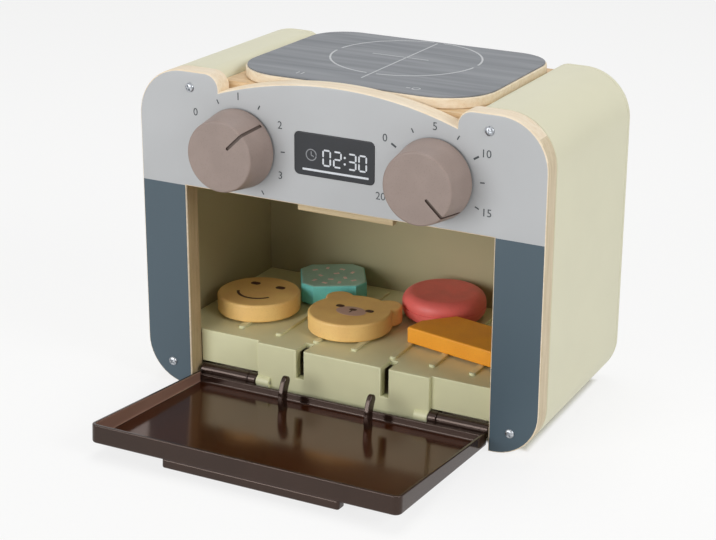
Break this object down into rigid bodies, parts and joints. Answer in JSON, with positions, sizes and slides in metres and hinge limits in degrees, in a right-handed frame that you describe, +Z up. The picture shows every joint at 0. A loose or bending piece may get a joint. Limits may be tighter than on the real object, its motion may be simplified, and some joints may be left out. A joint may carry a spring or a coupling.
{
  "type": "toy oven",
  "caption": "Wooden toy oven with a drop-down tray door, turning knobs, a printed cooktop and loose play biscuits.",
  "frame": {"origin": "centre of the body's underside, halfway between the front panel's face and the back cover's face", "axes": "+X to the right seen from the front, +Y from the door to the back, +Z up"},
  "size_m": [0.25, 0.2381, 0.1935],
  "materials": {
    "painted_board": "light grey and slate blue satin paint on the face, bare wood edges",
    "painted_shell": "pale pistachio satin paint",
    "bare_wood": "sanded, clear matt lacquer",
    "cooktop_print": "grey print with white rings and cross lines",
    "pale_green_plastic": "moulded, satin",
    "smoked_plastic": "moulded, translucent smoked brown, glossy",
    "bright_steel": "zinc plated",
    "dark_print": "dark slate window with a printed clock readout",
    "taupe_paint": "satin paint on turned wood",
    "white_plastic": "moulded",
    "felt": "pressed felt",
    "tan_paint": "satin paint with dark printed features",
    "teal_paint": "satin paint",
    "red_paint": "satin paint",
    "orange_paint": "satin paint"
  },
  "bodies": {
    "oven_body": {"front_panel": "painted_board", "left_shell": "painted_shell", "right_shell": "painted_shell", "back_cover": "painted_shell", "bottom_board": "bare_wood", "top_deck": "bare_wood", "oven_ceiling": "bare_wood", "cooktop_board": "bare_wood", "cooktop_face": "cooktop_print", "base_moulding": "pale_green_plastic", "hinge_pins": "bright_steel", "door_stop": "bare_wood", "display_window": "dark_print", "knob_bushes": "white_plastic", "friction_rings": "felt", "front_screws": "bright_steel", "back_screws": "bright_steel", "base_screws": "bright_steel", "deck_screws": "bright_steel"},
    "door": {"door": "smoked_plastic"},
    "left_knob_set": {"left_knob": "taupe_paint", "left_spindle": "bright_steel", "left_washer": "bright_steel", "left_knob_screw": "bright_steel"},
    "right_knob_set": {"right_knob": "taupe_paint", "right_spindle": "bright_steel", "right_washer": "bright_steel", "right_knob_screw": "bright_steel"},
    "smiling_biscuit_piece": {"smiling_biscuit": "tan_paint"},
    "bear_biscuit_piece": {"bear_biscuit": "tan_paint"},
    "square_biscuit_piece": {"square_biscuit": "teal_paint"},
    "sandwich_biscuit_piece": {"sandwich_biscuit": "red_paint"},
    "orange_slice_piece": {"orange_slice": "orange_paint"}
  },
  "joints": [
    {"name": "door_hinge", "type": "hinge", "parent": "oven_body", "child": "door", "pos_m": [0, -0.056, 0.0085], "axis": [-1, 0, 0], "range_deg": [0, 86]},
    {"name": "left_knob_turn", "type": "hinge", "parent": "oven_body", "child": "left_knob_set", "pos_m": [-0.06, -0.065, 0.1515], "axis": [0, 1, 0], "continuous": true},
    {"name": "right_knob_turn", "type": "hinge", "parent": "oven_body", "child": "right_knob_set", "pos_m": [0.06, -0.065, 0.1515], "axis": [0, 1, 0], "continuous": true},
    {"name": "smiling_biscuit_lift", "type": "slide", "parent": "oven_body", "child": "smiling_biscuit_piece", "axis": [0, 0, 1], "range_m": [0, 0.06]},
    {"name": "bear_biscuit_lift", "type": "slide", "parent": "oven_body", "child": "bear_biscuit_piece", "axis": [0, 0, 1], "range_m": [0, 0.06]},
    {"name": "square_biscuit_lift", "type": "slide", "parent": "oven_body", "child": "square_biscuit_piece", "axis": [0, 0, 1], "range_m": [0, 0.06]},
    {"name": "sandwich_biscuit_lift", "type": "slide", "parent": "oven_body", "child": "sandwich_biscuit_piece", "axis": [0, 0, 1], "range_m": [0, 0.06]},
    {"name": "orange_slice_lift", "type": "slide", "parent": "oven_body", "child": "orange_slice_piece", "axis": [0, 0, 1], "range_m": [0, 0.06]}
  ]
}
